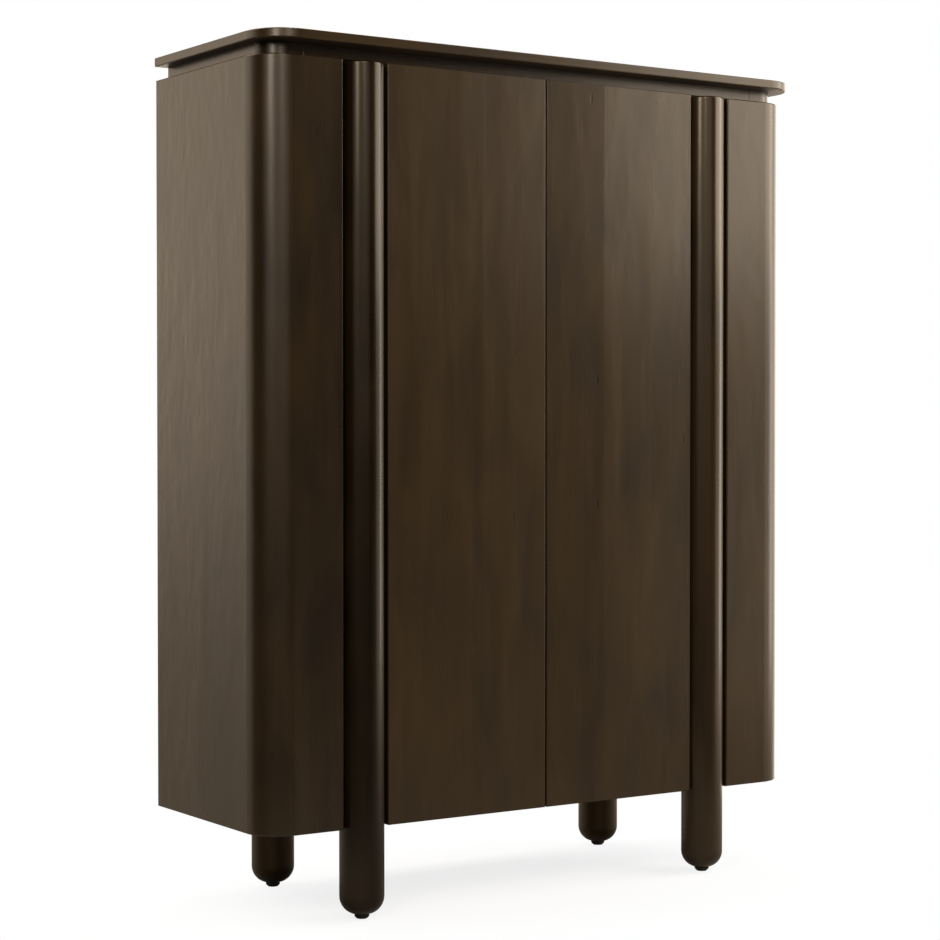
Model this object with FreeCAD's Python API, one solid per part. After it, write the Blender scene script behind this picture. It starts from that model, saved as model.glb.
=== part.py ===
import FreeCAD, Part
import math
import os

# Driving dimensions, in millimetres: the cabinet as a whole
height = 1400.0                # floor to the upper face of the top panel
body_width = 1073.0            # outside of one side panel to the outside of the other
body_depth = 373.0             # face of the doors to the back
body_clearance = 147.0         # floor to the underside of the body
corner_radius = 56.0           # rounded front corners of the body
edge_round = 2.5               # eased edges of stiles and sides

# Top panel and the recessed neck that carries it
top_thickness = 15.0
top_side_overhang = 5.5
top_front_overhang = 23.0      # reaches just past the posts
top_back_setback = 8.0
top_corner_radius = 64.0
top_edge_round = 2.0
neck_height = 21.0
neck_inset = 15.5              # from the body's faces to the neck's faces
neck_thickness = 24.0
neck_corner_tail = 25.0        # straight end of a corner block, along the front
neck_seam_chamfer = 0.6
door_top_gap = 2.0             # rebate under the front neck rail, above the doors

# Sheet thicknesses of the carcase
shell_thickness = 20.0         # side panels and corner stiles
bottom_thickness = 20.0
deck_thickness = 20.0
shelf_thickness = 20.0
back_thickness = 6.0
back_rabbet = 10.0             # how far the back panel reaches into each side panel
inner_corner_relief = 6.0      # inner panels are cut rounder than the stiles' inside

# Turned posts, rear legs and their levelling feet
post_diameter = 72.5
post_spacing = 700.5           # axis to axis
post_proud = 20.0              # the posts stand out this far past the door faces
post_top_drop = 2.0            # post tops lie below the stile tops
post_rim_round = 3.0
post_flat_depth = 4.5          # flat planed on the back of a post, where the rail seats
post_clearance = 0.3           # round the posts, in the notches of deck and bottom
rear_leg_spacing = 693.5       # axis to axis
leg_back_setback = 55.5        # axis of a rear leg to the back
leg_top_round = 2.0
leg_foot_flat = 7.0            # radius of the flat under a rounded leg end
leveller_height = 7.0          # visible height of a levelling foot
leveller_width = 23.5          # across the flats
leveller_pad_diameter = 17.0   # round face on the floor
leveller_stud_diameter = 8.0
leveller_travel = 12.0
leveller_grip = 12.0           # stud left in its insert at full travel
insert_diameter = 12.0
insert_end_room = 2.0          # above a stud that is screwed right in
thread_clearance = 0.05        # between a stud and its insert

# Frame behind each post, which carries the post and the hinges
stile_post_gap = 5.75
rail_thickness = 22.0
cleat_width = 33.0
cleat_setback = 2.0            # from the stile's edge
hinge_board_thickness = 22.0
hinge_board_depth = 60.0

# Doors
door_thickness = 20.0
door_edge_round = 1.5
door_post_gap = 3.75
door_meeting_gap = 3.0
door_back_gap = 3.0            # to the front edges of deck and bottom
door_opening = 95.0            # degrees

# Concealed hinges: a cup in the door, a goose-neck arm on the hinge board, one pin
hinge_end_distance = 110.0     # door end to the outer hinges
hinge_middle_drop = 80.0       # middle hinge below the door's middle, clear of the shelf
hinge_pin_inset = 22.0         # hinge edge of the door to the pin
hinge_pin_depth = 12.0         # face of the door to the pin
hinge_pin_diameter = 3.5
hinge_pin_clearance = 0.05
heel_clearance = 1.8           # round the path of the door's hinge edge
cup_diameter = 35.0
cup_edge_distance = 5.0        # hinge edge of the door to the cup
cup_depth = 13.0
cup_wall = 1.0
cup_fit = 0.1                  # round the cup in the door
cup_flange_thickness = 1.2
cup_flange_rim = 2.5
cup_ear_reach = 26.0           # cup centre to the centre of a screw ear
cup_ear_radius = 6.0
knuckle_diameter = 7.0
arm_thickness = 3.0
arm_width = 10.0
arm_base_length = 58.0
arm_base_width = 15.0
arm_base_height = 9.0
arm_base_round = 1.5
plate_thickness = 3.0
plate_length = 52.0
plate_width = 17.0
plate_wing_reach = 24.0
plate_wing_length = 18.0
plate_rail_gap = 4.0           # back of the post rail to the plate

# Push latches under the deck, one for each door
latch_offset = 28.0            # cabinet centre to a latch axis
latch_width = 18.0
latch_height = 15.0
latch_length = 62.0
latch_round = 2.0
plunger_diameter = 7.9
plunger_clearance = 0.05
plunger_length = 44.0
plunger_head_diameter = 10.0
plunger_head_length = 3.0
plunger_travel = 3.0
plunger_room = 1.0             # left between head and housing at full travel
strike_diameter = 14.0
strike_thickness = 1.2
strike_gap = 0.3               # strike to plunger, door closed

# Shelves and their pins
shelf_setback = 45.0           # face of the doors to a shelf's front edge
shelf_gap = 1.0                # loose shelves to the sides and the back
shelf_notch_gap = 2.0          # shelves to the hinge boards
shelf_edge_round = 2.0
shelf_pin_diameter = 5.0
shelf_pin_seat = 9.0
shelf_pin_reach = 10.0
shelf_pin_collar = 8.0
shelf_pin_collar_thickness = 1.0
shelf_pin_front_inset = 35.0   # back of the hinge boards to the front pins
shelf_pin_back_inset = 45.0    # back panel to the rear pins
shelf_hole_pitch = 32.0
shelf_hole_clearance = 0.05
shelf_holes_each_way = 1       # spare holes above and below each pin

# Fasteners that hold the posts and the rear legs
post_screw_diameter = 6.0
post_screw_head = 11.0
post_screw_length = 45.0
post_screw_count = 4
post_screw_end_distance = 90.0
leg_bolt_diameter = 8.0
leg_bolt_head = 15.0
leg_bolt_length = 70.0
screw_clearance = 0.05

# Places that follow from the dimensions
V = FreeCAD.Vector
UP = V(0, 0, 1)
BACKWARD = V(0, 1, 0)
SIDEWAYS = V(1, 0, 0)
front = top_front_overhang - (body_depth + top_front_overhang) / 2
back = front + body_depth
half_width = body_width / 2
side_inner = half_width - shell_thickness
back_inner = back - back_thickness
neck_seam = half_width - corner_radius - neck_corner_tail
top_underside = height - top_thickness
body_top = top_underside - neck_height
body_bottom = body_clearance
floor_level = body_bottom + bottom_thickness
deck_underside = body_top - deck_thickness
post_radius = post_diameter / 2
post_x = post_spacing / 2
post_y = front - post_proud + post_radius
post_top = body_top - post_top_drop
leg_x = rear_leg_spacing / 2
leg_y = back - leg_back_setback
stud_length = leveller_travel + leveller_grip
insert_length = stud_length + insert_end_room
opening_half = post_x - post_radius
stile_edge = post_x + post_radius + stile_post_gap
door_edge = opening_half - door_post_gap
door_back = front + door_thickness
panel_front = door_back + door_back_gap
rail_front = post_y + post_radius - post_flat_depth
rail_back = rail_front + rail_thickness
board_back = rail_back + hinge_board_depth
cleat_edge = stile_edge + cleat_width
pin_x = -door_edge + hinge_pin_inset
pin_y = front + hinge_pin_depth
pin_radius = hinge_pin_diameter / 2
cup_x = -door_edge + cup_edge_distance + cup_diameter / 2
plate_face = -opening_half + plate_thickness
plate_start = rail_back + plate_rail_gap
latch_level = deck_underside - latch_height / 2
plunger_tip = door_back + strike_thickness + strike_gap
latch_front = plunger_tip + plunger_head_length + plunger_travel + plunger_room
door_middle = (body_bottom + body_top) / 2
hinge_levels = [
    body_bottom + hinge_end_distance,
    door_middle - hinge_middle_drop,
    body_top - hinge_end_distance,
]
shelf_count = 3
shelf_space = (deck_underside - floor_level - shelf_count * shelf_thickness) / (shelf_count + 1)
shelf_levels = [
    floor_level + (number + 1) * shelf_space + number * shelf_thickness for number in range(shelf_count)
]
loose_shelf_levels = [shelf_levels[0], shelf_levels[2]]
shelf_pin_rows = [board_back + shelf_pin_front_inset, back_inner - shelf_pin_back_inset]
shelf_pin_radius = shelf_pin_diameter / 2


def heel_reach():
    """Furthest that the door's eased hinge edge reaches from the pin."""
    across = hinge_pin_inset - door_edge_round
    to_face = hinge_pin_depth - door_edge_round
    to_back = door_thickness - hinge_pin_depth - door_edge_round
    return math.hypot(across, max(to_face, to_back)) + door_edge_round


def block(x0, x1, y0, y1, z0, z1):
    return Part.makeBox(x1 - x0, y1 - y0, z1 - z0, V(x0, y0, z0))


def rod(radius, start, direction, length):
    return Part.makeCylinder(radius, length, start, direction)


def mirrored(shape):
    return shape.mirror(V(0, 0, 0), SIDEWAYS)


def prism(edges, z0, z1):
    """Solid between two levels over a closed outline of edges drawn at level 0."""
    face = Part.Face(Part.Wire(Part.__sortEdges__(edges)))
    face.translate(V(0, 0, z0))
    return face.extrude(V(0, 0, z1 - z0))


def line(a, b):
    return Part.LineSegment(V(*a, 0), V(*b, 0)).toShape()


def quarter_arc(centre, radius, start_angle):
    """Quarter circle in plan that runs from start_angle, in degrees, anticlockwise."""
    points = []
    for turn in (0, 45, 90):
        angle = math.radians(start_angle + turn)
        points.append(V(centre[0] + radius * math.cos(angle), centre[1] + radius * math.sin(angle), 0))
    return Part.Arc(*points).toShape()


def round_front_plan(half, y_front, y_back, radius):
    """Outline in plan of a panel with a square back and two rounded front corners."""
    left_centre = (-half + radius, y_front + radius)
    right_centre = (half - radius, y_front + radius)
    return [
        line((half, y_back), (-half, y_back)),
        line((-half, y_back), (-half, y_front + radius)),
        quarter_arc(left_centre, radius, 180),
        line((-half + radius, y_front), (half - radius, y_front)),
        quarter_arc(right_centre, radius, 270),
        line((half, y_front + radius), (half, y_back)),
    ]


def corner_plan(inset, thickness, end_x):
    """Outline in plan of the left front corner, a bent strip that ends square at end_x."""
    centre = (-half_width + corner_radius, front + corner_radius)
    outer = corner_radius - inset
    inner = outer - thickness
    return [
        quarter_arc(centre, outer, 180),
        line((centre[0], centre[1] - outer), (end_x, centre[1] - outer)),
        line((end_x, centre[1] - outer), (end_x, centre[1] - inner)),
        line((end_x, centre[1] - inner), (centre[0], centre[1] - inner)),
        quarter_arc(centre, inner, 180),
        line((centre[0] - inner, centre[1]), (centre[0] - outer, centre[1])),
    ]


def edges_where(shape, test):
    """Edges whose end points and middle all pass a test on their place."""
    chosen = []
    for edge in shape.Edges:
        middle = edge.valueAt((edge.FirstParameter + edge.LastParameter) / 2)
        points = [vertex.Point for vertex in edge.Vertexes] + [middle]
        if all(test(point) for point in points):
            chosen.append(edge)
    return chosen


def near(a, b):
    return abs(a - b) < 1e-4


def is_level(point, *levels):
    return any(near(point.z, level) for level in levels)


def make_top_panel():
    edges = round_front_plan(
        half_width + top_side_overhang, front - top_front_overhang, back - top_back_setback, top_corner_radius
    )
    panel = prism(edges, top_underside, height)
    rims = edges_where(panel, lambda p: is_level(p, top_underside, height))
    return panel.makeFillet(top_edge_round, rims)


def heel_swings(z0, z1):
    """Round cuts for the swing of the doors' hinge edges."""
    radius = heel_reach() + heel_clearance
    return [rod(radius, V(side * pin_x, pin_y, z0), UP, z1 - z0) for side in (-1, 1)]


def make_neck_front_rail():
    """Rail under the top's front, cut up above the doors so that they swing clear of it."""
    face_y = front + neck_inset
    rail = block(-neck_seam, neck_seam, face_y, face_y + neck_thickness, body_top, top_underside)
    seams = edges_where(rail, lambda p: near(p.y, face_y) and near(abs(p.x), neck_seam))
    rail = rail.makeChamfer(neck_seam_chamfer, seams)
    rebate_back = panel_front + door_top_gap
    rebate_top = body_top + door_top_gap
    rebate = block(-neck_seam, neck_seam, front, rebate_back, body_top, rebate_top)
    return rail.cut([rebate] + heel_swings(body_top, rebate_top))


def make_neck_back_rail():
    half = half_width - neck_inset - neck_thickness
    face_y = back - neck_inset
    return block(-half, half, face_y - neck_thickness, face_y, body_top, top_underside)


def make_neck_side_rail():
    face_x = -half_width + neck_inset
    start_y = front + corner_radius
    return block(face_x, face_x + neck_thickness, start_y, back - neck_inset, body_top, top_underside)


def make_neck_corner():
    corner = prism(corner_plan(neck_inset, neck_thickness, -neck_seam), body_top, top_underside)
    face_y = front + neck_inset
    seam = edges_where(corner, lambda p: near(p.y, face_y) and near(p.x, -neck_seam))
    return corner.makeChamfer(neck_seam_chamfer, seam)


def post_notches(z0, z1):
    """Round cuts for the posts and for the swing of the doors' hinge edges."""
    radius = post_radius + post_clearance
    posts = [rod(radius, V(side * post_x, post_y, z0), UP, z1 - z0) for side in (-1, 1)]
    return posts + heel_swings(z0, z1)


def make_carcase_panel(z0, z1):
    """Deck or bottom: between the sides, against the stiles, and just behind the doors."""
    radius = corner_radius - shell_thickness + inner_corner_relief
    panel = prism(round_front_plan(side_inner, front + shell_thickness, back_inner, radius), z0, z1)
    behind_doors = block(-post_x, post_x, front, panel_front, z0, z1)
    return panel.cut([behind_doors] + post_notches(z0, z1))


def make_bottom_panel():
    panel = make_carcase_panel(body_bottom, floor_level)
    return panel.cut([leg_bolt_hole(side) for side in (-1, 1)])


def make_back_panel():
    half = side_inner + back_rabbet
    return block(-half, half, back_inner, back, body_bottom, body_top)


def shelf_pin_places():
    """Seats of the shelf pins on the left side panel's inner face, as (y, z)."""
    return [(row, level - shelf_pin_radius) for level in loose_shelf_levels for row in shelf_pin_rows]


def make_side_panel():
    seam_y = front + corner_radius
    panel = block(-half_width, -side_inner, seam_y, back, body_bottom, body_top)

    def on_outer_rim(point):
        return near(point.x, -half_width) and (near(point.y, back) or is_level(point, body_bottom, body_top))

    panel = panel.makeFillet(edge_round, edges_where(panel, on_outer_rim))
    cuts = [block(-side_inner - back_rabbet, -side_inner, back_inner, back, body_bottom, body_top)]
    for row, level in shelf_pin_places():
        for step in range(-shelf_holes_each_way, shelf_holes_each_way + 1):
            start = V(-side_inner - shelf_pin_seat, row, level + step * shelf_hole_pitch)
            cuts.append(rod(shelf_pin_radius + shelf_hole_clearance, start, SIDEWAYS, shelf_pin_seat))
    return panel.cut(cuts)


def make_corner_stile():
    stile = prism(corner_plan(0, shell_thickness, -stile_edge), body_bottom, body_top)
    centre = V(-half_width + corner_radius, front + corner_radius, 0)

    def on_face(point):
        flat = near(point.y, front)
        curved = near(math.hypot(point.x - centre.x, point.y - centre.y), corner_radius)
        return flat or (curved and point.x < centre.x)

    rims = edges_where(stile, lambda p: on_face(p) and is_level(p, body_bottom, body_top))
    inner_edge = edges_where(stile, lambda p: near(p.x, -stile_edge) and near(p.y, front))
    return stile.makeFillet(edge_round, rims + inner_edge)


def make_stile_cleat():
    return block(
        -cleat_edge, -stile_edge - cleat_setback, front + shell_thickness, rail_front,
        floor_level, deck_underside,
    )


def post_screw_levels():
    first = floor_level + post_screw_end_distance
    pitch = (deck_underside - post_screw_end_distance - first) / (post_screw_count - 1)
    return [first + number * pitch for number in range(post_screw_count)]


def countersunk(start, direction, diameter, head, length, clearance):
    """Countersunk screw: a cone that ends flush at start, then a plain shank."""
    shank_radius = diameter / 2 + clearance
    head_radius = head / 2 + clearance
    head_depth = (head - diameter) / 2
    cone = Part.makeCone(head_radius, shank_radius, head_depth, start, direction)
    return cone.fuse(rod(shank_radius, start, direction, length + clearance)).removeSplitter()


def post_screw(level, clearance):
    start = V(-post_x, rail_back, level)
    return countersunk(
        start, -BACKWARD, post_screw_diameter, post_screw_head, post_screw_length, clearance
    )


def leg_bolt(side, clearance):
    start = V(side * leg_x, leg_y, floor_level)
    return countersunk(start, -UP, leg_bolt_diameter, leg_bolt_head, leg_bolt_length, clearance)


def leg_bolt_hole(side):
    return leg_bolt(side, screw_clearance)


def make_post_rail():
    rail = block(-cleat_edge, -opening_half, rail_front, rail_back, floor_level, deck_underside)
    return rail.cut([post_screw(level, screw_clearance) for level in post_screw_levels()])


def make_hinge_board():
    inner = -opening_half
    return block(
        inner - hinge_board_thickness, inner, rail_back, board_back, floor_level, deck_underside
    )


def rounded_post(x, y, top, rim):
    """Turned round with a nearly half-round foot, bored for a levelling foot's insert."""
    foot_round = post_radius - leg_foot_flat
    foot = leveller_height
    slant = math.sqrt(0.5)
    edges = [
        Part.LineSegment(V(0, 0, foot), V(leg_foot_flat, 0, foot)),
        Part.Arc(
            V(leg_foot_flat, 0, foot),
            V(leg_foot_flat + foot_round * slant, 0, foot + foot_round * (1 - slant)),
            V(post_radius, 0, foot + foot_round),
        ),
        Part.LineSegment(V(post_radius, 0, foot + foot_round), V(post_radius, 0, top - rim)),
        Part.Arc(
            V(post_radius, 0, top - rim),
            V(post_radius - rim * (1 - slant), 0, top - rim * (1 - slant)),
            V(post_radius - rim, 0, top),
        ),
        Part.LineSegment(V(post_radius - rim, 0, top), V(0, 0, top)),
        Part.LineSegment(V(0, 0, top), V(0, 0, foot)),
    ]
    profile = Part.Face(Part.Wire([edge.toShape() for edge in edges]))
    post = profile.revolve(V(0, 0, 0), UP, 360)
    bore = rod(insert_diameter / 2 + screw_clearance, V(0, 0, foot), UP, insert_length)
    post = post.cut(bore)
    post.translate(V(x, y, 0))
    return post


def make_front_post():
    post = rounded_post(-post_x, post_y, post_top, post_rim_round)
    behind = block(
        -post_x - post_radius, -post_x + post_radius, rail_front, rail_back, floor_level, deck_underside
    )
    return post.cut([behind] + [post_screw(level, screw_clearance) for level in post_screw_levels()])


def make_rear_leg():
    leg = rounded_post(-leg_x, leg_y, body_bottom, leg_top_round)
    return leg.cut(leg_bolt_hole(-1))


def leg_places():
    """Axes of the four legs, by name, as (x, y)."""
    return {
        "front_left": (-post_x, post_y),
        "front_right": (post_x, post_y),
        "rear_left": (-leg_x, leg_y),
        "rear_right": (leg_x, leg_y),
    }


def make_insert(x, y):
    start = V(x, y, leveller_height)
    sleeve = rod(insert_diameter / 2, start, UP, insert_length)
    return sleeve.cut(rod(leveller_stud_diameter / 2 + thread_clearance, start, UP, insert_length))


def make_leveller(x, y):
    """Low hexagon foot, bevelled down to a round pad, on a stud that screws into the insert."""
    corner = leveller_width / math.sqrt(3)
    corners = []
    for number in range(6):
        angle = math.radians(60 * number)
        corners.append(V(corner * math.cos(angle), corner * math.sin(angle), 0))
    hexagon = Part.Face(Part.makePolygon(corners + corners[:1])).extrude(V(0, 0, leveller_height))
    pad_radius = leveller_pad_diameter / 2
    bevel = Part.makeCone(pad_radius, pad_radius + leveller_height, leveller_height)
    stud = rod(leveller_stud_diameter / 2, V(0, 0, leveller_height), UP, stud_length)
    foot = hexagon.common(bevel).fuse(stud).removeSplitter()
    foot.translate(V(x, y, 0))
    return foot


def make_shelf(level, side_gap, back_gap):
    """Full width behind the hinge boards, and narrower between them."""
    step_y = board_back + shelf_notch_gap
    half_front = opening_half - shelf_notch_gap
    half_back = side_inner - side_gap
    top = level + shelf_thickness
    wide = block(-half_back, half_back, step_y, back_inner - back_gap, level, top)
    narrow = block(-half_front, half_front, front + shelf_setback, step_y, level, top)
    shelf = wide.fuse(narrow).removeSplitter()
    rims = edges_where(shelf, lambda p: near(p.y, front + shelf_setback) and is_level(p, level, top))
    return shelf.makeFillet(shelf_edge_round, rims)


def make_shelf_pin(row, level):
    seat = rod(shelf_pin_radius, V(-side_inner - shelf_pin_seat, row, level), SIDEWAYS, shelf_pin_seat)
    reach = rod(shelf_pin_radius, V(-side_inner, row, level), SIDEWAYS, shelf_pin_reach)
    collar = rod(shelf_pin_collar / 2, V(-side_inner, row, level), SIDEWAYS, shelf_pin_collar_thickness)
    shelf_line = level + shelf_pin_radius
    above = block(
        -half_width, 0, row - shelf_pin_collar, row + shelf_pin_collar,
        shelf_line, shelf_line + shelf_pin_collar,
    )
    return seat.fuse([reach, collar]).removeSplitter().cut(above)


def make_door():
    inner = -door_meeting_gap / 2
    door = block(-door_edge, inner, front, door_back, body_bottom, body_top)
    door = door.makeFillet(door_edge_round, door.Edges)
    pockets = []
    for level in hinge_levels:
        start = V(cup_x, door_back, level)
        pockets.append(rod(cup_diameter / 2 + cup_fit, start, -BACKWARD, cup_depth + cup_fit))
    return door.cut(pockets)


def make_hinge_cup(level):
    centre = V(cup_x, door_back, level)
    radius = cup_diameter / 2
    shell = rod(radius, centre, -BACKWARD, cup_depth)
    rim = rod(radius + cup_flange_rim, centre, BACKWARD, cup_flange_thickness)
    ear_plate = block(
        cup_x - cup_ear_radius, cup_x + cup_ear_radius, door_back, door_back + cup_flange_thickness,
        level - cup_ear_reach, level + cup_ear_reach,
    )
    ears = []
    for side in (-1, 1):
        ear_centre = V(cup_x, door_back, level + side * cup_ear_reach)
        ears.append(rod(cup_ear_radius, ear_centre, BACKWARD, cup_flange_thickness))
    cup = shell.fuse([rim, ear_plate] + ears).removeSplitter()
    inside_start = V(cup_x, door_back + cup_flange_thickness, level)
    inside_depth = cup_depth - cup_wall + cup_flange_thickness
    inside = rod(radius - cup_wall, inside_start, -BACKWARD, inside_depth)
    pin_hole = rod(pin_radius + hinge_pin_clearance, V(pin_x, pin_y, level - radius), UP, cup_diameter)
    return cup.cut([inside, pin_hole])


def make_hinge_pin(level):
    """Pin across the cup, its ends held in the cup's wall."""
    aside = pin_x - cup_x
    half = math.sqrt((cup_diameter / 2 - cup_wall / 2) ** 2 - aside ** 2)
    return rod(pin_radius, V(pin_x, pin_y, level - half), UP, 2 * half)


def strip(points, thickness, z0, z1):
    """Bent flat bar along points in plan, with round bends."""
    pieces = []
    for a, b in zip(points, points[1:]):
        run = V(*b, 0) - V(*a, 0)
        bar = Part.makeBox(run.Length, thickness, z1 - z0, V(0, -thickness / 2, 0))
        bar.rotate(V(0, 0, 0), UP, math.degrees(math.atan2(run.y, run.x)))
        bar.translate(V(*a, z0))
        pieces.append(bar)
    for point in points[1:-1]:
        pieces.append(rod(thickness / 2, V(*point, z0), UP, z1 - z0))
    return pieces[0].fuse(pieces[1:])


def spoke_angle():
    """Direction in which the arm leaves the pin: midway between the cup's two rims over the swing."""
    chord = math.sqrt((cup_diameter / 2 - cup_wall) ** 2 - (arm_width / 2) ** 2)
    mouth = door_back + cup_flange_thickness - pin_y
    far_rim = math.atan2(mouth, cup_x + chord - pin_x)
    near_rim = math.atan2(mouth, cup_x - chord - pin_x) - math.radians(door_opening)
    return (far_rim + near_rim) / 2


def make_hinge_arm(level):
    """Goose neck from the pin, round the path of the door's edge, to the plate on the board."""
    reach = heel_reach() + heel_clearance + arm_thickness / 2
    angle = spoke_angle()
    bend = (pin_x + reach * math.cos(angle), pin_y + reach * math.sin(angle))
    run_x = plate_face + arm_thickness / 2
    neck_y = pin_y + reach
    points = [(pin_x, pin_y), bend, (bend[0], neck_y), (run_x, neck_y), (run_x, plate_start)]
    z0 = level - arm_width / 2
    z1 = level + arm_width / 2
    neck = strip(points, arm_thickness, z0, z1)
    knuckle = rod(knuckle_diameter / 2, V(pin_x, pin_y, z0), UP, arm_width)
    base_back = plate_start + plate_length
    base = block(
        plate_face, plate_face + arm_base_height, base_back - arm_base_length, base_back,
        level - arm_base_width / 2, level + arm_base_width / 2,
    )
    crown = edges_where(base, lambda p: near(p.x, plate_face + arm_base_height))
    base = base.makeFillet(arm_base_round, crown)
    bore = rod(pin_radius + hinge_pin_clearance, V(pin_x, pin_y, z0), UP, arm_width)
    return neck.fuse([knuckle, base]).removeSplitter().cut(bore)


def make_hinge_plate(level):
    """Cross-shaped plate on the hinge board's inner face, under the arm."""
    plate_end = plate_start + plate_length
    stem = block(
        -opening_half, plate_face, plate_start, plate_end, level - plate_width / 2, level + plate_width / 2
    )
    wing_start = plate_start + (plate_length - plate_wing_length) / 2
    wings = block(
        -opening_half, plate_face, wing_start, wing_start + plate_wing_length,
        level - plate_wing_reach, level + plate_wing_reach,
    )
    cross = stem.fuse(wings).removeSplitter()
    wing_ends = edges_where(cross, lambda p: near(abs(p.z - level), plate_wing_reach))
    corners = [edge for edge in wing_ends if near(edge.Length, plate_thickness)]
    return cross.makeFillet(plate_wing_length / 3, corners)


def make_latch_housing():
    housing = block(
        -latch_offset - latch_width / 2, -latch_offset + latch_width / 2,
        latch_front, latch_front + latch_length, deck_underside - latch_height, deck_underside,
    )
    lower = edges_where(housing, lambda p: is_level(p, deck_underside - latch_height))
    housing = housing.makeFillet(latch_round, lower)
    depth = plunger_tip + plunger_length + plunger_travel + plunger_room - latch_front
    start = V(-latch_offset, latch_front, latch_level)
    return housing.cut(rod(plunger_diameter / 2 + plunger_clearance, start, BACKWARD, depth))


def make_latch_plunger():
    start = V(-latch_offset, plunger_tip, latch_level)
    stem = rod(plunger_diameter / 2, start, BACKWARD, plunger_length)
    head = rod(plunger_head_diameter / 2, start, BACKWARD, plunger_head_length)
    return stem.fuse(head).removeSplitter()


def make_strike_plate():
    return rod(strike_diameter / 2, V(-latch_offset, door_back, latch_level), BACKWARD, strike_thickness)


def save(name, solids):
    shape = solids[0] if len(solids) == 1 else Part.Compound(solids)
    shape.exportStep(f"parts/{name}.step")


def save_pair(name, solids):
    save(name + "_left", solids)
    save(name + "_right", [mirrored(solid) for solid in solids])


os.makedirs("parts", exist_ok=True)

# Top and neck
save("top_panel", [make_top_panel()])
save("neck_front_rail", [make_neck_front_rail()])
save("neck_back_rail", [make_neck_back_rail()])
save_pair("neck_side_rail", [make_neck_side_rail()])
save_pair("neck_corner", [make_neck_corner()])

# Carcase
save("deck_panel", [make_carcase_panel(deck_underside, body_top)])
save("bottom_panel", [make_bottom_panel()])
save("back_panel", [make_back_panel()])
save_pair("side_panel", [make_side_panel()])
save_pair("corner_stile", [make_corner_stile()])
save_pair("stile_cleat", [make_stile_cleat()])
save_pair("post_rail", [make_post_rail()])
save_pair("hinge_board", [make_hinge_board()])

# Posts, legs and feet
save_pair("front_post", [make_front_post()])
save_pair("rear_leg", [make_rear_leg()])
post_screws = [post_screw(level, 0) for level in post_screw_levels()]
save("post_screws", post_screws + [mirrored(screw) for screw in post_screws])
save("leg_bolts", [leg_bolt(side, 0) for side in (-1, 1)])
save("leveller_inserts", [make_insert(*place) for place in leg_places().values()])
for place_name, place in leg_places().items():
    save("leveller_" + place_name, [make_leveller(*place)])

# Shelves
save("lower_shelf", [make_shelf(shelf_levels[0], shelf_gap, shelf_gap)])
save("middle_shelf", [make_shelf(shelf_levels[1], 0, 0)])
save("upper_shelf", [make_shelf(shelf_levels[2], shelf_gap, shelf_gap)])
pins = [make_shelf_pin(row, level) for row, level in shelf_pin_places()]
save("shelf_pins", pins + [mirrored(pin) for pin in pins])

# Doors, hinges and latches
save_pair("door", [make_door()])
save_pair("hinge_cups", [make_hinge_cup(level) for level in hinge_levels])
save_pair("hinge_pins", [make_hinge_pin(level) for level in hinge_levels])
save_pair("hinge_arms", [make_hinge_arm(level) for level in hinge_levels])
save_pair("hinge_plates", [make_hinge_plate(level) for level in hinge_levels])
save_pair("latch_housing", [make_latch_housing()])
save_pair("latch_plunger", [make_latch_plunger()])
save_pair("strike_plate", [make_strike_plate()])
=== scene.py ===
import math

import bmesh
import bpy
from mathutils import Matrix, Vector


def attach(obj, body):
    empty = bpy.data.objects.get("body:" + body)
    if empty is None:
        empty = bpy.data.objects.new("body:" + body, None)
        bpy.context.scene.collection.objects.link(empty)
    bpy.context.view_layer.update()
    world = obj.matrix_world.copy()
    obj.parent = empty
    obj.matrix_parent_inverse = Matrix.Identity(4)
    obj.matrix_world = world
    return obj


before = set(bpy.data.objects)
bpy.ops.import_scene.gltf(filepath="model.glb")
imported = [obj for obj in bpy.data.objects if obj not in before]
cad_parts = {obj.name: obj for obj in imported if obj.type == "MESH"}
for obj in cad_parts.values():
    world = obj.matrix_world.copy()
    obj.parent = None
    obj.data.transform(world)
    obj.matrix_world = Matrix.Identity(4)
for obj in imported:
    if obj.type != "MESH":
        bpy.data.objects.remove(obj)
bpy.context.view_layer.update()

# Carcase panels and the frame behind the posts.
# Sawn and planed hardwood, stained dark like the outside but only sealed, so duller.
# The boards are glued and screwed together before anything else goes on.
SEALED_DARK = "#2b2118"
SEALED_LIGHT = "#4c3d2e"
SEALED_ROUGHNESS = 0.52
GRAIN_UPRIGHT = (0, 0, 0)
GRAIN_ACROSS = (-90, -90, 0)
LEVEL_BOARDS = ("bottom_panel", "deck_panel")
UPRIGHT_BOARDS = (
    "back_panel", "stile_cleat_left", "stile_cleat_right", "post_rail_left", "post_rail_right",
    "hinge_board_left", "hinge_board_right",
)


def colour(code):
    """Linear colour, with alpha, of a colour written as on screen."""
    parts = [int(code[place:place + 2], 16) / 255 for place in (1, 3, 5)]
    linear = [part / 12.92 if part <= 0.04045 else ((part + 0.055) / 1.055) ** 2.4 for part in parts]
    return (*linear, 1.0)


def add(tree, kind, inputs=None, **settings):
    """Adds a node; an input given as a socket is linked, and any other value is set."""
    node = tree.nodes.new("ShaderNode" + kind)
    for name, value in settings.items():
        setattr(node, name, value)
    for name, value in (inputs or {}).items():
        if isinstance(value, bpy.types.NodeSocket):
            tree.links.new(value, node.inputs[name])
        else:
            node.inputs[name].default_value = value
    return node


def reckon(tree, operation, *values, clamp=False):
    """Result of a sum on values and sockets."""
    inputs = dict(enumerate(values))
    return add(tree, "Math", inputs, operation=operation, use_clamp=clamp).outputs[0]


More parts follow.
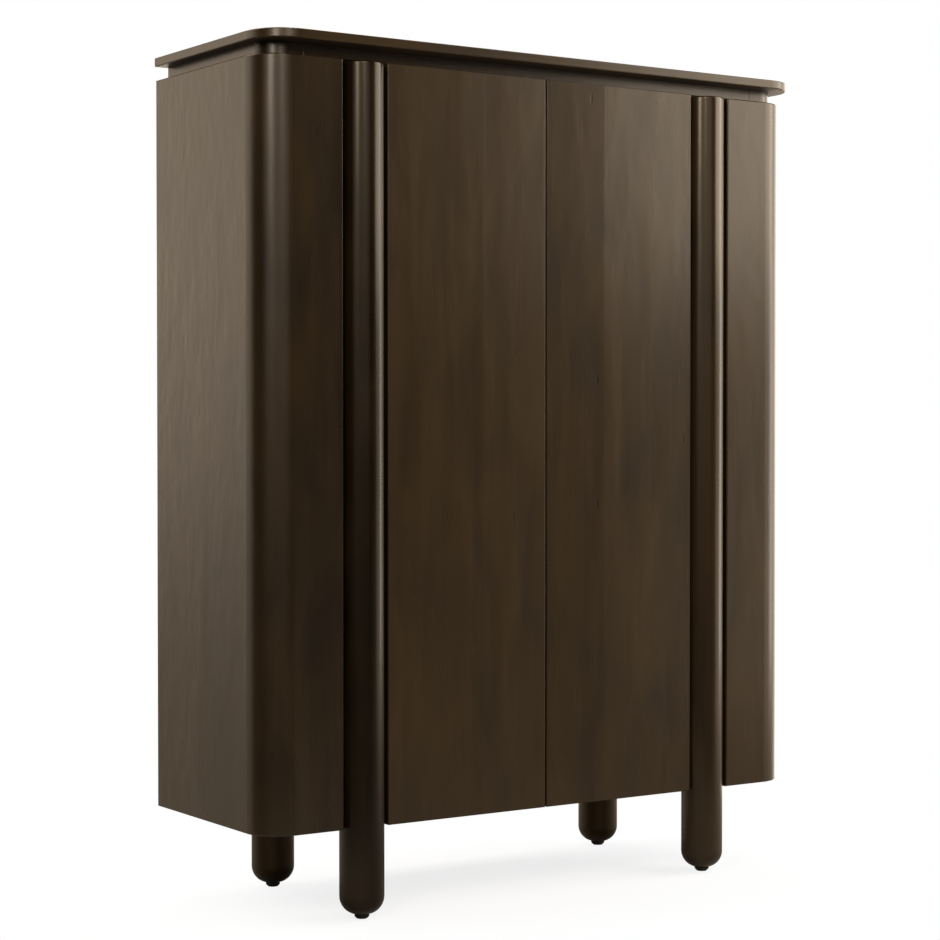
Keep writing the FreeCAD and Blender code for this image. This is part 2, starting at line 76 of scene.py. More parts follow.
def relief(tree, height, depth, under=None, strength=1.0, invert=False):
    """Surface raised by a height, on top of the relief under it."""
    inputs = {"Height": height, "Strength": strength, "Distance": depth}
    if under is not None:
        inputs["Normal"] = under
    return add(tree, "Bump", inputs, invert=invert).outputs["Normal"]


def ramp(tree, factor, *stops):
    """Colour that goes from one stop to the other; a stop is (factor, colour)."""
    node = add(tree, "ValToRGB", {"Fac": factor})
    for element, (position, shade) in zip(node.color_ramp.elements, stops):
        element.position = position
        element.color = shade
    return node.outputs["Color"]


def new_finish(name):
    """Empty finish: the material, its node tree and its shader."""
    material = bpy.data.materials.new(name)
    material.use_nodes = True
    return material, material.node_tree, material.node_tree.nodes["Principled BSDF"]


def wood_finish(name, dark, light, roughness, turn, boards=(), hollows=0.0):
    """Stained wood: cloudy stain, streaky figure, fine fibres and short flecks under lacquer.

    Boards are (left edge, tone, tilt in degrees): glued boards never match or lie quite flat. On the
    stiles and the turned wood the tone of the left board is painted shade.
    Hollows give the depth of the shallow patches that sanding by hand leaves.
    """
    cloud_share, figure_share, fibre_share = 0.8, 0.2, 0.08
    dark_fleck, pale_fleck, fleck_odds = 0.5, 0.15, 0.018
    fleck_core, fleck_rim = 0.06, 0.28
    middle_tone, gloss_swing = 0.5, 0.05
    wave_depth, pit_depth = 0.0007, 0.00015
    pore_depth, pore_strength = 0.0003, 0.06
    material, tree, shader = new_finish(name)
    place = add(tree, "TexCoord").outputs["Object"]
    rotation = [math.radians(angle) for angle in turn]
    along = add(tree, "Mapping", {"Vector": place, "Rotation": rotation}).outputs["Vector"]

    def stretched(across, lengthwise):
        scale = (across, across, lengthwise)
        return add(tree, "Mapping", {"Vector": along, "Scale": scale}).outputs["Vector"]

    def streaks(across, lengthwise, detail, harshness=0.5, bend=0.0):
        return add(tree, "TexNoise", {
            "Vector": stretched(across, lengthwise), "Scale": 1.0, "Detail": detail,
            "Roughness": harshness, "Distortion": bend,
        }).outputs["Fac"]

    cloud = streaks(across=16, lengthwise=5, detail=2.0, harshness=0.45, bend=0.4)
    figure = streaks(across=44, lengthwise=2.6, detail=2.0, bend=0.6)
    fibre = streaks(across=330, lengthwise=9, detail=3.0, harshness=0.6)
    flecks = add(tree, "TexVoronoi", {"Vector": stretched(across=75, lengthwise=20), "Scale": 1.0})
    spot = add(tree, "MapRange", {
        "Value": flecks.outputs["Distance"], "From Min": fleck_core, "From Max": fleck_rim,
        "To Min": 1.0, "To Max": 0.0,
    }).outputs["Result"]
    draw = add(tree, "SeparateColor", {"Color": flecks.outputs["Color"]}).outputs["Red"]
    dark_spot = reckon(tree, "MULTIPLY", spot, reckon(tree, "LESS_THAN", draw, fleck_odds))
    pale_spot = reckon(tree, "MULTIPLY", spot, reckon(tree, "GREATER_THAN", draw, 1 - fleck_odds))

    tone = middle_tone * (1 - cloud_share - figure_share - fibre_share)
    for pattern, share in (
        (cloud, cloud_share), (figure, figure_share), (fibre, fibre_share),
        (dark_spot, -dark_fleck), (pale_spot, pale_fleck),
    ):
        tone = reckon(tree, "MULTIPLY_ADD", pattern, share, tone)
    ground = None
    if hollows:
        ground = relief(tree, streaks(across=44, lengthwise=17, detail=1.5), hollows)
    if boards:
        sideways = add(tree, "SeparateXYZ", {"Vector": along}).outputs["X"]
        height, last_shift, last_slope = 0.0, 0.0, 0.0
        for edge, shift, tilt in boards:
            slope = math.tan(math.radians(tilt))
            past = reckon(tree, "GREATER_THAN", sideways, edge)
            tone = reckon(tree, "MULTIPLY_ADD", past, shift - last_shift, tone)
            run = reckon(tree, "SUBTRACT", sideways, edge, clamp=True)
            height = reckon(tree, "MULTIPLY_ADD", run, slope - last_slope, height)
            last_shift, last_slope = shift, slope
        ground = relief(tree, height, depth=1.0, under=ground)

    shade = ramp(tree, tone, (0.0, colour(dark)), (1.0, colour(light)))
    gloss = reckon(tree, "MULTIPLY_ADD", figure, gloss_swing, roughness - gloss_swing / 2)
    waves = relief(tree, cloud, wave_depth, ground)
    pits = relief(tree, dark_spot, pit_depth, waves, invert=True)
    pores = relief(tree, fibre, pore_depth, pits, pore_strength)
    for result, socket in ((shade, "Base Color"), (gloss, "Roughness"), (pores, "Normal")):
        tree.links.new(result, shader.inputs[socket])
    return material


def dress(material, *names):
    """Gives CAD nodes their finish."""
    for name in names:
        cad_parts[name].material_slots[0].material = material


for name, grain, boards in (
    ("sealed_wood_across", GRAIN_ACROSS, LEVEL_BOARDS),
    ("sealed_wood_upright", GRAIN_UPRIGHT, UPRIGHT_BOARDS),
):
    dress(wood_finish(name, SEALED_DARK, SEALED_LIGHT, SEALED_ROUGHNESS, grain), *boards)

# Side panels.
# Wide boards of stained hardwood under satin lacquer, with the grain upright.
# The front edge meets the rounded corner stile in a tight glued joint.
STAIN_DARK = "#1a1209"
STAIN_LIGHT = "#473820"
LACQUER_ROUGHNESS = 0.27
GRAIN_UPRIGHT_SIDE = (0, 0, 90)
SIDE_HOLLOWS = 0.0007
side_wood = wood_finish(
    "side_wood", STAIN_DARK, STAIN_LIGHT, LACQUER_ROUGHNESS, GRAIN_UPRIGHT_SIDE, hollows=SIDE_HOLLOWS,
)
dress(side_wood, "side_panel_left", "side_panel_right")

# Corner stiles.
# Bent and glued strips of the same stained wood, rounded at the outer corner of the cabinet.
# They are glued to the sides and to the cleats behind the posts. The left one is painted darker, as
# painted shade.
# Painted shade: the first board darkens the left stile.
STILE_PAINTED_SHADE = ((-0.6, -0.24, 0.0), (0.0, 0.0, 0.0))
dress(
    wood_finish("stile_wood_painted_shade", STAIN_DARK, STAIN_LIGHT, LACQUER_ROUGHNESS, GRAIN_UPRIGHT, STILE_PAINTED_SHADE),
    "corner_stile_left", "corner_stile_right",
)

# Front posts and rear legs.
# Turned from solid wood with a rounded foot, stained and lacquered; the left ones are painted darker,
# as painted shade.
# The posts are screwed from behind through a rail, and the legs are bolted to the bottom panel.
TURNED_DARK = "#150e07"
TURNED_LIGHT = "#40311f"
# Painted shade: the first board darkens the left post and the left leg.
TURNED_PAINTED_SHADE = ((-0.6, -0.4, 0.0), (0.0, 0.0, 0.0))
POST_ROUGHNESS = 0.22
POST_SHEEN = (1.0, 0.95, 0.86, 1.0)
LEFT_POST_COAT = 0.36
RIGHT_POST_COAT = 0.54
LEG_ROUGHNESS = 0.42
LEG_SHEEN = (1.0, 0.74, 0.46, 1.0)
LEG_COAT = 0.5
for name, roughness, sheen, coat, posts in (
    ("left_post_wood_painted_shade", POST_ROUGHNESS, POST_SHEEN, LEFT_POST_COAT, ("front_post_left",)),
    ("right_post_wood", POST_ROUGHNESS, POST_SHEEN, RIGHT_POST_COAT, ("front_post_right",)),
    ("leg_wood_painted_shade", LEG_ROUGHNESS, LEG_SHEEN, LEG_COAT, ("rear_leg_left", "rear_leg_right")),
):
    turned_wood = wood_finish(name, TURNED_DARK, TURNED_LIGHT, roughness, GRAIN_UPRIGHT, TURNED_PAINTED_SHADE)
    shader = turned_wood.node_tree.nodes["Principled BSDF"]
    shader.inputs["Specular Tint"].default_value = sheen
    shader.inputs["Specular IOR Level"].default_value = coat
    dress(turned_wood, *posts)

# Screws and bolts of the posts and legs.
# Zinc-plated steel with countersunk heads, driven flush from the inside.
ZINC = "#b9babb"
ZINC_ROUGHNESS = 0.42


def speckle(tree, shader, tint, roughness, scale, detail, dull_share, swing):
    """Varies a tint and its gloss in fine spots, and returns the spots."""
    dull_end, bright_end = 0.3, 0.7
    place = add(tree, "TexCoord").outputs["Object"]
    spots = add(tree, "TexNoise", {"Vector": place, "Scale": scale, "Detail": detail}).outputs["Fac"]
    bright = colour(tint)
    dull = (*(dull_share * part for part in bright[:3]), 1.0)
    shade = ramp(tree, spots, (dull_end, dull), (bright_end, bright))
    tree.links.new(shade, shader.inputs["Base Color"])
    gloss = add(tree, "MapRange", {
        "Value": spots, "To Min": roughness - swing, "To Max": roughness + swing,
    }).outputs["Result"]
    tree.links.new(gloss, shader.inputs["Roughness"])
    return spots


def metal_finish(name, tint, roughness):
    """Plated metal: a smooth tint with a faint cloudy spangle in its colour and gloss."""
    material, tree, shader = new_finish(name)
    speckle(tree, shader, tint, roughness, scale=350.0, detail=4.0, dull_share=0.8, swing=0.08)
    shader.inputs["Metallic"].default_value = 1.0
    return material


zinc_plate = metal_finish("zinc_plate", ZINC, ZINC_ROUGHNESS)
dress(zinc_plate, "post_screws", "leg_bolts")

# Screws of the back panel.
# Countersunk cross-head screws in zinc-plated steel, nearly flush with the panel.
# They go into the rabbets of the sides and into the back edges of deck, middle shelf and bottom.
BACK_FACE = 0.198
BACK_HEAD_RADIUS = 0.0036
BACK_HEAD_RISE = 0.0004
BACK_HEAD_TURN = 37
BACK_SPACING = 0.15
BACK_ROW_LEVELS = (0.157, 0.7555, 1.354)
BACK_ROW_PLACES = [BACK_SPACING * step for step in range(-3, 4)]
BACK_COLUMN_PLACES = (-0.5215, 0.5215)
BACK_COLUMN_START = 0.225
BACK_COLUMN_LEVELS = [BACK_COLUMN_START + BACK_SPACING * step for step in range(8)]


def cross_head(shape, place, facing, radius, rise, turn):
    """Adds a low domed screw head with a cross recess, on a face that points along facing.

    The shares of the head's own radius and rise are the same for every screw.
    """
    sides, arms = 12, 4
    taper, wall = 0.9, 0.5
    dome = ((0.12, 0.3), (0.1, 0.2))
    arm_share, waist_share, recess_depth = 0.62, 0.2, 0.85
    head = bmesh.ops.create_cone(
        shape, cap_ends=True, segments=sides, radius1=radius, radius2=taper * radius, depth=wall * rise,
    )["verts"]
    faces = {face for vert in head for face in vert.link_faces}
    crown = max(faces, key=lambda face: face.calc_center_median().z)
    made = set(head)
    for inset, lift in dome:
        ring = bmesh.ops.inset_region(
            shape, faces=[crown], thickness=inset * radius, depth=lift * rise,
        )["faces"]
        made.update(vert for face in ring for vert in face.verts)
    made.update(crown.verts)
    for vert in crown.verts:
        flat = Vector((vert.co.x, vert.co.y, 0))
        step = round(math.degrees(math.atan2(flat.y, flat.x)) / (360 / sides))
        share = waist_share if step % (sides // arms) else arm_share
        flat = flat.normalized() * share * radius
        vert.co.x, vert.co.y = flat.x, flat.y
    recess = bmesh.ops.extrude_discrete_faces(shape, faces=[crown])["faces"][0]
    made.update(recess.verts)
    bmesh.ops.translate(shape, verts=recess.verts, vec=(0, 0, -recess_depth * rise))
    stand = Vector(facing).to_track_quat("Z", "Y").to_matrix().to_4x4()
    turned = stand @ Matrix.Rotation(math.radians(turn), 4, "Z")
    seat = Matrix.Translation(place) @ turned @ Matrix.Translation((0, 0, wall * rise / 2))
    bmesh.ops.transform(shape, matrix=seat, verts=list(made))


def put_in_scene(name, data):
    """Makes an object and links it to the scene."""
    thing = bpy.data.objects.new(name, data)
    bpy.context.scene.collection.objects.link(thing)
    return thing


def add_piece(name, shape, finish, body):
    """Makes a piece of a finished shape, and fixes it to a body of the cabinet."""
    mesh = bpy.data.meshes.new(name)
    shape.to_mesh(mesh)
    shape.free()
    mesh.materials.append(finish)
    piece = put_in_scene(name, mesh)
    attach(piece, body)


back_screws = bmesh.new()
back_places = [(x, z) for z in BACK_ROW_LEVELS for x in BACK_ROW_PLACES]
back_places += [(x, z) for x in BACK_COLUMN_PLACES for z in BACK_COLUMN_LEVELS]
for number, (x, z) in enumerate(back_places):
    turn = BACK_HEAD_TURN * number
    cross_head(back_screws, (x, BACK_FACE, z), (0, 1, 0), BACK_HEAD_RADIUS, BACK_HEAD_RISE, turn)
add_piece("back_panel_screws", back_screws, zinc_plate, "carcase")

# Threaded inserts and levelling feet.
# Brass sleeves pressed into the leg ends, and black nylon feet that screw into them on steel studs.
BRASS = "#c9a35f"
BRASS_ROUGHNESS = 0.35
NYLON = "#16130f"
NYLON_ROUGHNESS = 0.5
FOOT_HEIGHT = 0.007
STUD_PITCH = 0.00125
STUD_RIDGE = 0.0003
MIX_FACTOR, MIX_FIRST, MIX_SECOND, MIX_RESULT = 0, 6, 7, 2


def plastic_finish(name, tint, roughness):
    """Moulded plastic with a fine even texture from its mould."""
    mould_depth, mould_strength = 0.0002, 0.15
    material, tree, shader = new_finish(name)
    spots = speckle(tree, shader, tint, roughness, scale=900.0, detail=3.0, dull_share=0.82, swing=0.06)
    texture = relief(tree, spots, mould_depth, strength=mould_strength)
    tree.links.new(texture, shader.inputs["Normal"])
    return material


dress(metal_finish("brass", BRASS, BRASS_ROUGHNESS), "leveller_inserts")
black_nylon = plastic_finish("black_nylon", NYLON, NYLON_ROUGHNESS)
tree = black_nylon.node_tree
shader = tree.nodes["Principled BSDF"]
place = add(tree, "TexCoord").outputs["Object"]
level = add(tree, "SeparateXYZ", {"Vector": place}).outputs["Z"]
on_stud = reckon(tree, "GREATER_THAN", level, FOOT_HEIGHT)
nylon_shade = shader.inputs["Base Color"].links[0].from_socket
foot_shade = add(tree, "Mix", {
    MIX_FACTOR: on_stud, MIX_FIRST: nylon_shade, MIX_SECOND: colour(ZINC),
}, data_type="RGBA").outputs[MIX_RESULT]
tree.links.new(foot_shade, shader.inputs["Base Color"])
tree.links.new(on_stud, shader.inputs["Metallic"])
ridge = reckon(tree, "SINE", reckon(tree, "MULTIPLY", level, 2 * math.pi / STUD_PITCH))
ridge = reckon(tree, "MULTIPLY", ridge, on_stud)
mould_texture = shader.inputs["Normal"].links[0].from_socket
tree.links.new(relief(tree, ridge, STUD_RIDGE, mould_texture), shader.inputs["Normal"])
dress(
    black_nylon,
    "leveller_front_left", "leveller_front_right", "leveller_rear_left", "leveller_rear_right",
)

# Neck and top panel.
# Rails and rounded corner blocks set back under a thin top, with the grain along each of them.
# All are stained and lacquered. The rails and corners of the neck are painted darker as painted shade
# under the top, and its side rails lighter as painted light.
# The level faces of the top are rubbed duller than its edges.
GRAIN_BACKWARD = (90, 0, 0)
TOP_WEAR = 0.22
LEVEL_LIMIT = 0.95
# Painted shade: the rails and corners of the neck are painted darker, for the shade under the top.
NECK_PAINTED_SHADE_DARK = "#181109"
NECK_PAINTED_SHADE_LIGHT = "#322617"
NECK_ROUGHNESS = 0.28
# Painted light: the side rails of the neck are painted lighter, to fill the shade under the top.
SIDE_RAIL_PAINTED_LIGHT = "#66543c"
top_wood = wood_finish("top_wood", STAIN_DARK, STAIN_LIGHT, LACQUER_ROUGHNESS, GRAIN_ACROSS)
tree = top_wood.node_tree
shader = tree.nodes["Principled BSDF"]
normal = add(tree, "NewGeometry").outputs["True Normal"]
upward = add(tree, "SeparateXYZ", {"Vector": normal}).outputs["Z"]
level_face = reckon(tree, "GREATER_THAN", reckon(tree, "ABSOLUTE", upward), LEVEL_LIMIT)
gloss = shader.inputs["Roughness"].links[0].from_socket
worn = reckon(tree, "MULTIPLY_ADD", level_face, TOP_WEAR, gloss)
tree.links.new(worn, shader.inputs["Roughness"])
dress(top_wood, "top_panel")
dress(
    wood_finish("neck_wood_painted_shade", NECK_PAINTED_SHADE_DARK, NECK_PAINTED_SHADE_LIGHT, NECK_ROUGHNESS, GRAIN_ACROSS),
    "neck_front_rail", "neck_back_rail", "neck_corner_left", "neck_corner_right",
)
dress(
    wood_finish("backward_wood_painted_light", STAIN_DARK, SIDE_RAIL_PAINTED_LIGHT, NECK_ROUGHNESS, GRAIN_BACKWARD),
    "neck_side_rail_left", "neck_side_rail_right",
)

# Shelves and their pins.
# Sealed boards with an eased front edge: the middle one is fixed, the others lie on steel pins.
NICKEL = "#c4c0b8"
NICKEL_ROUGHNESS = 0.28
dress(
    wood_finish("shelf_wood", SEALED_DARK, SEALED_LIGHT, SEALED_ROUGHNESS, GRAIN_ACROSS),
    "lower_shelf", "middle_shelf", "upper_shelf",
)
nickel_plate = metal_finish("nickel_plate", NICKEL, NICKEL_ROUGHNESS)
dress(nickel_plate, "shelf_pins")

# Doors.
# Edge-glued boards of stained wood, each board a little lighter or darker, with eased edges.
# They hang on concealed hinges and have no handles.
DOOR_BOARDS = (
    (-0.4, 0.02, -0.4), (-0.15, -0.04, -0.3), (-0.128, 0.06, -0.5),
    (0.0, -0.03, 1.2), (0.121, 0.01, -0.2),
)
dress(
    wood_finish("door_wood", STAIN_DARK, STAIN_LIGHT, LACQUER_ROUGHNESS, GRAIN_UPRIGHT, DOOR_BOARDS),
    "door_left", "door_right",
)

# Hinges and strike plates.
# Pressed and nickel-plated steel: cups in the doors, goose-neck arms, plates and pins.
# Cups and plates are screwed on through their ears and wings, and the arms to their plates.
HINGE_LEVELS = (0.257, 0.6755, 1.254)
HINGE_HEAD_RADIUS = 0.0036
HINGE_HEAD_RISE = 0.0014
CUP_PLACE = 0.28775
EAR_FACE = -0.1538
EAR_REACH = 0.026
EAR_TURN, EAR_LEVEL_TURN = 50, 700
PLATE_FACE = 0.311
WING_PLACE = -0.075
WING_REACH = 0.0168
WING_TURN, WING_LEVEL_TURN = 35, 500
ARM_FACE = 0.302
ARM_SCREW_PLACES = (-0.09, -0.062)
ARM_HEAD_RADIUS = 0.003
ARM_HEAD_RISE = 0.0007
ARM_TURN = 9000
dress(
    nickel_plate,
    "hinge_cups_left", "hinge_cups_right", "hinge_pins_left", "hinge_pins_right",
    "hinge_arms_left", "hinge_arms_right", "hinge_plates_left", "hinge_plates_right",
    "strike_plate_left", "strike_plate_right",
)
for side, hand in ((-1, "left"), (1, "right")):
    cup_screws, plate_screws = bmesh.new(), bmesh.new()
    inward = (-side, 0, 0)
    for level in HINGE_LEVELS:
        for step in (-1, 1):
            ear = (side * CUP_PLACE, EAR_FACE, level + step * EAR_REACH)
            turn = EAR_TURN * step + EAR_LEVEL_TURN * level
            cross_head(cup_screws, ear, (0, 1, 0), HINGE_HEAD_RADIUS, HINGE_HEAD_RISE, turn)
            wing = (side * PLATE_FACE, WING_PLACE, level + step * WING_REACH)
            turn = WING_TURN * step + WING_LEVEL_TURN * level
            cross_head(plate_screws, wing, inward, HINGE_HEAD_RADIUS, HINGE_HEAD_RISE, turn)
        for place in ARM_SCREW_PLACES:
            seat = (side * ARM_FACE, place, level)
            cross_head(plate_screws, seat, inward, ARM_HEAD_RADIUS, ARM_HEAD_RISE, ARM_TURN * place)
    add_piece("hinge_cup_screws_" + hand, cup_screws, nickel_plate, hand + "_door")
    add_piece("hinge_plate_screws_" + hand, plate_screws, nickel_plate, "carcase")

# Push latches.
# Grey moulded housings, each with a sprung plunger.
# Two ears on each housing are screwed up into the deck.
LATCH_GREY = "#8f8d88"
LATCH_ROUGHNESS = 0.45
DECK_UNDERSIDE = 1.344
LATCH_PLACE = 0.028
LATCH_HALF_WIDTH = 0.009
LATCH_EAR_PLACES = (-0.126, -0.1)
LATCH_EAR_RADIUS = 0.0055
LATCH_EAR_SHARE = 0.6
LATCH_EAR_REACH = LATCH_HALF_WIDTH + LATCH_EAR_SHARE * LATCH_EAR_RADIUS
LATCH_EAR_DEPTH = 0.0025
LATCH_EAR_EASE = 0.0005
LATCH_HEAD_RADIUS = 0.0034
LATCH_HEAD_RISE = 0.0012
LATCH_STEP_TURN, LATCH_SIDE_TURN = 61, 20
grey_plastic = plastic_finish("grey_plastic", LATCH_GREY, LATCH_ROUGHNESS)
dress(
    grey_plastic,
    "latch_housing_left", "latch_housing_right", "latch_plunger_left", "latch_plunger_right",
)
latch_ears, latch_screws = bmesh.new(), bmesh.new()
ear_middle = DECK_UNDERSIDE - LATCH_EAR_DEPTH / 2
ear_face = DECK_UNDERSIDE - LATCH_EAR_DEPTH
for side in (-1, 1):
    for step, place in zip((-1, 1), LATCH_EAR_PLACES):
        across = side * LATCH_PLACE + step * LATCH_EAR_REACH
        ear = bmesh.ops.create_cone(
            latch_ears, cap_ends=True, segments=32, radius1=LATCH_EAR_RADIUS, radius2=LATCH_EAR_RADIUS,
            depth=LATCH_EAR_DEPTH, matrix=Matrix.Translation((across, place, ear_middle)),
        )["verts"]
        edges = dict.fromkeys(edge for vert in ear for edge in vert.link_edges)
        lower = [edge for edge in edges if all(vert.co.z < ear_middle for vert in edge.verts)]
        bmesh.ops.bevel(
            latch_ears, geom=lower, offset=LATCH_EAR_EASE, segments=2, profile=0.5,
            affect="EDGES", material=-1,
        )
        turn = LATCH_STEP_TURN * step + LATCH_SIDE_TURN * side
        seat = (across, place, ear_face)
        cross_head(latch_screws, seat, (0, 0, -1), LATCH_HEAD_RADIUS, LATCH_HEAD_RISE, turn)
add_piece("latch_ears", latch_ears, grey_plastic, "carcase")
add_piece("latch_screws", latch_screws, zinc_plate, "carcase")

# Floor.
# A pale studio floor that keeps the shadow near the cabinet and fades to plain white round it.
# Only what the camera sees of it is white, and what it throws back at the cabinet is dimmer.
FLOOR_RADIUS = 1.15
FLOOR_CENTRE = (0.0, -0.08, 0.0)
FLOOR_SPREAD = (1.9, 3.2, 1.0)
FLOOR_FADE = (0.55, 1.35)
FLOOR_GLOW = 0.8
FLOOR_SHADE = (0.24, 0.27, 0.32, 1.0)
FLOOR_BOUNCE = (0.4, 0.4, 0.4, 1.0)
FLOOR_MIRRORED = 0.03
WHITE = (1.0, 1.0, 1.0, 1.0)
floor_mesh = bpy.data.meshes.new("floor")
disc = bmesh.new()
bmesh.ops.create_circle(disc, cap_ends=True, segments=96, radius=FLOOR_RADIUS)
disc.to_mesh(floor_mesh)
disc.free()
floor = put_in_scene("floor", floor_mesh)


def ray_kinds(tree):
    """Socket that is 1 for camera rays, and socket that is 1 for glossy and transmission rays."""
    path = add(tree, "LightPath").outputs
    mirrored = reckon(tree, "MAXIMUM", path["Is Glossy Ray"], path["Is Transmission Ray"])
    return path["Is Camera Ray"], mirrored


floor_finish, tree, shader = new_finish("floor_white")
floor_mesh.materials.append(floor_finish)
floor_finish.cycles.emission_sampling = "NONE"
tree.nodes.remove(shader)
lit = add(tree, "BsdfDiffuse", {"Color": FLOOR_BOUNCE})
keeps_shadow = add(tree, "BsdfDiffuse", {"Color": FLOOR_SHADE})
glow = add(tree, "Emission", {"Color": WHITE, "Strength": FLOOR_GLOW})
near_floor = add(tree, "AddShader", {0: keeps_shadow.outputs[0], 1: glow.outputs[0]})
far_floor = add(tree, "Emission", {"Color": WHITE, "Strength": 1.0})
place = add(tree, "TexCoord").outputs["Object"]
offset = add(tree, "VectorMath", {0: place, 1: FLOOR_CENTRE}, operation="SUBTRACT").outputs["Vector"]
offset = add(tree, "VectorMath", {0: offset, 1: FLOOR_SPREAD}, operation="MULTIPLY").outputs["Vector"]
distance = add(tree, "VectorMath", {0: offset}, operation="LENGTH").outputs["Value"]
far = add(tree, "MapRange", {
    "Value": distance, "From Min": FLOOR_FADE[0], "From Max": FLOOR_FADE[1],
}).outputs["Result"]
white_floor = add(tree, "MixShader", {0: far, 1: near_floor.outputs[0], 2: far_floor.outputs[0]})
seen, mirrored = ray_kinds(tree)
shows_white = reckon(tree, "MULTIPLY_ADD", mirrored, FLOOR_MIRRORED, seen)
floor_look = add(tree, "MixShader", {0: shows_white, 1: lit.outputs[0], 2: white_floor.outputs[0]})
tree.links.new(floor_look.outputs[0], tree.nodes["Material Output"].inputs["Surface"])

# Walls of the studio.
# White behind and at the right, with a white card at the front left and a glow low down at the right.
# The rest of the room is dark, so the lacquer shines only at its sides.
AMBIENT = 0.06
BACK_WALL = 1.55
BACK_AXIS = (0.2, 1.0, 0.0)
BACK_TURN = (0.12, 0.45)
BACK_RISE = (-0.15, 0.11)
BACK_LOW = 0.28
RIGHT_CARD = 1.2
RIGHT_AXIS = (0.8, 0.6, 0.0)
RIGHT_TURN = (0.6, 0.95)
WALL_TOP = (0.18, 0.32)
WALL_HIGH = 0.3
LOW_LEAST = 0.1
LOW_GLOW = 0.65
LOW_AXIS = (1.0, 0.0, 0.0)
LOW_SIDE = (0.2, 1.1)
LOW_FALL = (0.02, -0.12)
FRONT_CARD = 1.45
FRONT_AXIS = (-0.5, -0.866, 0.0)
FRONT_TURN = (0.68, 0.84)
FRONT_RISE = (-0.05, 0.2)
LAMP_WARMTH = (1.0, 0.84, 0.66)
world = bpy.data.worlds.new("studio")
bpy.context.scene.world = world
world.use_nodes = True
world.cycles.sampling_method = "NONE"
tree = world.node_tree
tree.nodes.clear()
direction = add(tree, "TexCoord").outputs["Generated"]
upward = add(tree, "SeparateXYZ", {"Vector": direction}).outputs["Z"]


def towards(axis):
    """How far a direction points along an axis."""
    return add(tree, "VectorMath", {0: direction, 1: axis}, operation="DOT_PRODUCT").outputs["Value"]


def fade(value, limits, low, high):
    """Soft step of a value between two limits, from a low to a high level."""
    return add(tree, "MapRange", {
        "Value": value, "From Min": limits[0], "From Max": limits[1], "To Min": low, "To Max": high,
    }, interpolation_type="SMOOTHSTEP").outputs["Result"]


back_wall = fade(towards(BACK_AXIS), BACK_TURN, 0.0, BACK_WALL)
back_wall = reckon(tree, "MULTIPLY", back_wall, fade(upward, BACK_RISE, BACK_LOW, 1.0))
right_card = fade(towards(RIGHT_AXIS), RIGHT_TURN, 0.0, RIGHT_CARD)
walls = reckon(tree, "ADD", back_wall, right_card)
walls = reckon(tree, "MULTIPLY", walls, fade(upward, WALL_TOP, 1.0, WALL_HIGH))
low_glow = fade(towards(LOW_AXIS), LOW_SIDE, LOW_LEAST, LOW_GLOW)
low_glow = reckon(tree, "MULTIPLY", low_glow, fade(upward, LOW_FALL, 0.0, 1.0))
low_room = reckon(tree, "MAXIMUM", walls, low_glow)
front_card = fade(towards(FRONT_AXIS), FRONT_TURN, 0.0, FRONT_CARD)
room = reckon(tree, "MULTIPLY_ADD", front_card, fade(upward, FRONT_RISE, 0.0, 1.0), low_room)
white_room = add(tree, "Background", {"Color": WHITE, "Strength": 1.0})
mirrored_room = add(tree, "Background", {"Color": (*LAMP_WARMTH, 1.0), "Strength": room})
ambient = add(tree, "Background", {"Color": (*LAMP_WARMTH, 1.0), "Strength": AMBIENT})
seen, mirrored = ray_kinds(tree)
around = add(tree, "MixShader", {0: mirrored, 1: ambient.outputs[0], 2: mirrored_room.outputs[0]})
surroundings = add(tree, "MixShader", {0: seen, 1: around.outputs[0], 2: white_room.outputs[0]})
add(tree, "OutputWorld", {"Surface": surroundings.outputs[0]})

# Lamps.
# Soft boxes of a studio, warm but for one strip of daylight beside the right post.
# Those behind light the left side, the back and the top, those in front the doors and posts.
DAYLIGHT = (1.0, 0.93, 0.84)


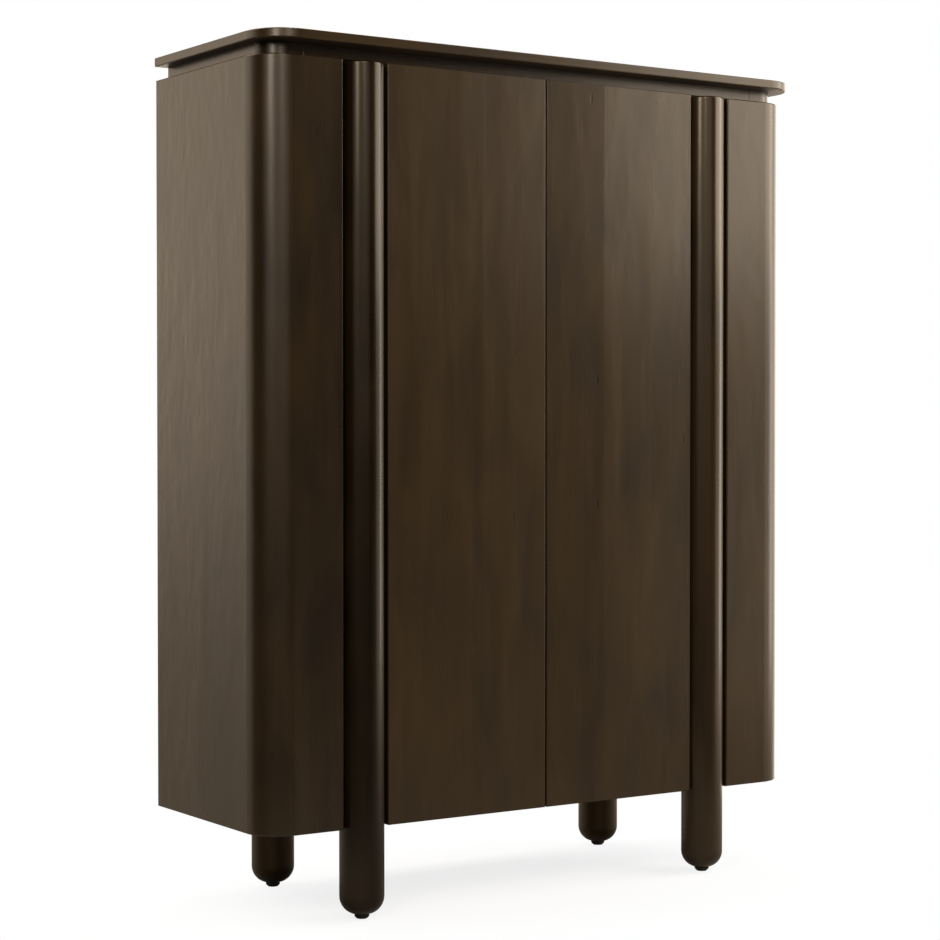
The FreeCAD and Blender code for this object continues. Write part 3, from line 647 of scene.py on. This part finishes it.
def softbox(name, place, target, width, height, brightness, tint=LAMP_WARMTH):
    """Rectangular soft light that faces a point, as bright as a white card of that strength."""
    lamp = bpy.data.lights.new(name, "AREA")
    lamp.shape = "RECTANGLE"
    lamp.size = width
    lamp.size_y = height
    lamp.energy = brightness * math.pi * width * height
    lamp.color = tint
    light = put_in_scene(name, lamp)
    light.location = place
    light.rotation_euler = (Vector(target) - Vector(place)).to_track_quat("-Z", "Y").to_euler()


softbox("right_high", (2.35, -1.47, 2.12), (0.2, -0.1, 1.0), 2.0, 1.9, 5.5)
softbox("right_low", (2.5, -1.23, 0.6), (0.2, -0.1, 0.6), 2.0, 1.3, 1.15)
softbox("right_tall", (1.55, -0.4, 1.35), (0.35, -0.17, 1.0), 0.45, 2.4, 2.6, DAYLIGHT)
softbox("left_high", (-2.6, -2.05, 2.25), (-0.2, -0.1, 1.0), 0.7, 1.1, 11.0)
softbox("left_top", (-2.3, 1.4, 3.1), (-0.5, 0.0, 0.7), 2.4, 2.4, 3.6)
softbox("front_top", (-0.9, -2.6, 2.7), (0.0, -0.2, 0.8), 1.0, 0.8, 6.6)
softbox("front_strip", (-1.05, -3.0, 2.3), (-0.4, -0.15, 1.2), 0.35, 0.9, 8.0)
softbox("back_low", (0.1, 2.4, 0.9), (0.0, 0.0, 0.1), 2.2, 0.8, 2.0)
softbox("back_top", (0.2, 1.5, 3.3), (0.0, 0.0, 0.2), 2.4, 1.4, 5.0)

# Camera.
# A long lens a little above half height, to the left of the cabinet.
# It looks slightly down, as the upright edges of the photograph show.
CAMERA_PLACE = (-2.2113, -3.2633, 0.79)
CAMERA_TILT = 1.164
CAMERA_TURN = 33.68
SENSOR_WIDTH = 36.0
FOCAL_LENGTH = 86.93
camera_data = bpy.data.cameras.new("camera")
camera_data.sensor_fit = "HORIZONTAL"
camera_data.sensor_width = SENSOR_WIDTH
camera_data.lens = FOCAL_LENGTH
camera = put_in_scene("camera", camera_data)
camera.location = CAMERA_PLACE
camera.rotation_euler = (math.radians(90 - CAMERA_TILT), 0, math.radians(-CAMERA_TURN))
bpy.context.scene.camera = camera
bpy.context.scene.view_settings.view_transform = "Standard"
